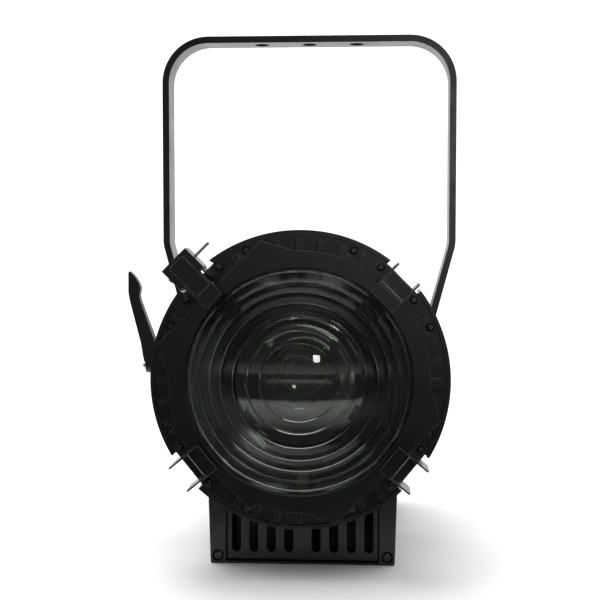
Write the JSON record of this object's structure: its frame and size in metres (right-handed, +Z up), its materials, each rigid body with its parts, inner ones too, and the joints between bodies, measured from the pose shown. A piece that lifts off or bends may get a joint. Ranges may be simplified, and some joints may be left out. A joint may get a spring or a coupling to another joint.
{
  "type": "fresnel spotlight",
  "caption": "Black studio fresnel spotlight with a stepped round lens, accessory clips with a hinged latch, a zoom carriage, a power base and a flat-bar yoke with a tilt clamp.",
  "frame": {"origin": "middle of the power base's resting face, straight below the tilt axis and the lens axis", "axes": "+Z up, +X to the right seen from the front; the light leaves along -Y and the tilt axis runs along X"},
  "size_m": [0.3307, 0.3766, 0.4985],
  "materials": {
    "black_paint": "satin powder coat, fine texture",
    "black_sheet": "satin powder-coated sheet",
    "dark_paint": "matt black paint",
    "black_plastic": "fine-grained glass-filled nylon",
    "bright_steel": "zinc plated",
    "black_screw": "black oxide",
    "lens_glass": "clear pressed borosilicate, stippled back",
    "rubber": "matt",
    "aluminium": "bare, brushed",
    "led_board": "white ceramic with phosphor",
    "brass": "turned",
    "circuit_board": "solder mask",
    "display_glass": "clear window over a dark display"
  },
  "bodies": {
    "housing": {"front_ring": "black_paint", "lens_plate": "black_paint", "fresnel_lens": "lens_glass", "lens_gasket": "rubber", "clip_upper_right": "black_sheet", "clip_lower_right": "black_sheet", "clip_lower_left": "black_sheet", "latch_bracket": "black_sheet", "latch_pin": "bright_steel", "body_shell": "black_paint", "middle_plate": "dark_paint", "rear_cover": "black_paint", "safety_eye": "bright_steel", "display_module": "display_glass", "base_box": "black_paint", "base_grille": "dark_paint", "base_rear_panel": "black_paint", "base_lid": "black_paint", "base_screw_left": "black_screw", "base_screw_right": "black_screw", "power_inlet": "black_plastic", "power_outlet": "black_plastic", "data_inlet": "black_plastic", "data_outlet": "black_plastic", "power_supply": "aluminium", "driver_board": "circuit_board", "friction_washer_left": "rubber", "friction_washer_right": "rubber", "clamp_washer_left": "bright_steel", "clamp_washer_right": "bright_steel", "pivot_stud_left": "bright_steel", "pivot_stud_right": "bright_steel", "pivot_nut_right": "black_screw", "guide_rod_left": "bright_steel", "guide_rod_right": "bright_steel"},
    "yoke": {"yoke": "black_paint"},
    "clamp": {"clamp_insert": "bright_steel", "lever_screw": "bright_steel"},
    "lever": {"clamp_lever": "black_plastic", "lever_spring": "bright_steel"},
    "latch": {"latch_arm": "black_sheet"},
    "carriage": {"carriage_plate": "aluminium", "led_module": "led_board", "condenser_holder": "dark_paint", "condenser_lens": "lens_glass", "condenser_bezel": "dark_paint", "heat_sink": "aluminium", "fan_frame": "black_plastic", "zoom_nut": "brass"},
    "rotor": {"fan_rotor": "black_plastic"},
    "knob": {"zoom_knob": "black_plastic", "lead_screw": "bright_steel"},
    "button_1": {"menu_button_1": "rubber"},
    "button_2": {"menu_button_2": "rubber"},
    "button_3": {"menu_button_3": "rubber"},
    "button_4": {"menu_button_4": "rubber"}
  },
  "joints": [
    {"name": "yoke_tilt", "type": "hinge", "parent": "housing", "child": "yoke", "pos_m": [0, 0, 0.1684], "axis": [1, 0, 0], "range_deg": [-110, 110]},
    {"name": "clamp_turn", "type": "hinge", "parent": "housing", "child": "clamp", "pos_m": [-0.13, 0, 0.1684], "axis": [-1, 0, 0], "range_deg": [-120, 60]},
    {"name": "lever_lift", "type": "slide", "parent": "clamp", "child": "lever", "axis": [-1, 0, 0], "range_m": [0, 0.004], "stiffness_N_per_m": 900, "springref_m": -0.003},
    {"name": "latch_swing", "type": "hinge", "parent": "housing", "child": "latch", "pos_m": [-0.09892, -0.186, 0.27382], "axis": [-0.7071, 0, -0.7071], "range_deg": [0, 95]},
    {"name": "zoom_slide", "type": "slide", "parent": "housing", "child": "carriage", "axis": [0, 1, 0], "range_m": [0, 0.12]},
    {"name": "zoom_knob_turn", "type": "hinge", "parent": "housing", "child": "knob", "pos_m": [0, 0.1483, 0.0969], "axis": [0, -1, 0], "range_deg": [0, 3600]},
    {"name": "fan_spin", "type": "hinge", "parent": "carriage", "child": "rotor", "pos_m": [0, -0.0489, 0.1749], "axis": [0, 1, 0], "continuous": true},
    {"name": "button_press_1", "type": "slide", "parent": "housing", "child": "button_1", "axis": [0, -1, 0], "range_m": [0, 0.0015], "stiffness_N_per_m": 400, "springref_m": -0.001},
    {"name": "button_press_2", "type": "slide", "parent": "housing", "child": "button_2", "axis": [0, -1, 0], "range_m": [0, 0.0015], "stiffness_N_per_m": 400, "springref_m": -0.001},
    {"name": "button_press_3", "type": "slide", "parent": "housing", "child": "button_3", "axis": [0, -1, 0], "range_m": [0, 0.0015], "stiffness_N_per_m": 400, "springref_m": -0.001},
    {"name": "button_press_4", "type": "slide", "parent": "housing", "child": "button_4", "axis": [0, -1, 0], "range_m": [0, 0.0015], "stiffness_N_per_m": 400, "springref_m": -0.001}
  ],
  "couplings": [
    {"joint": "zoom_knob_turn", "follows": "zoom_slide", "rad_per_m": 523.58}
  ]
}
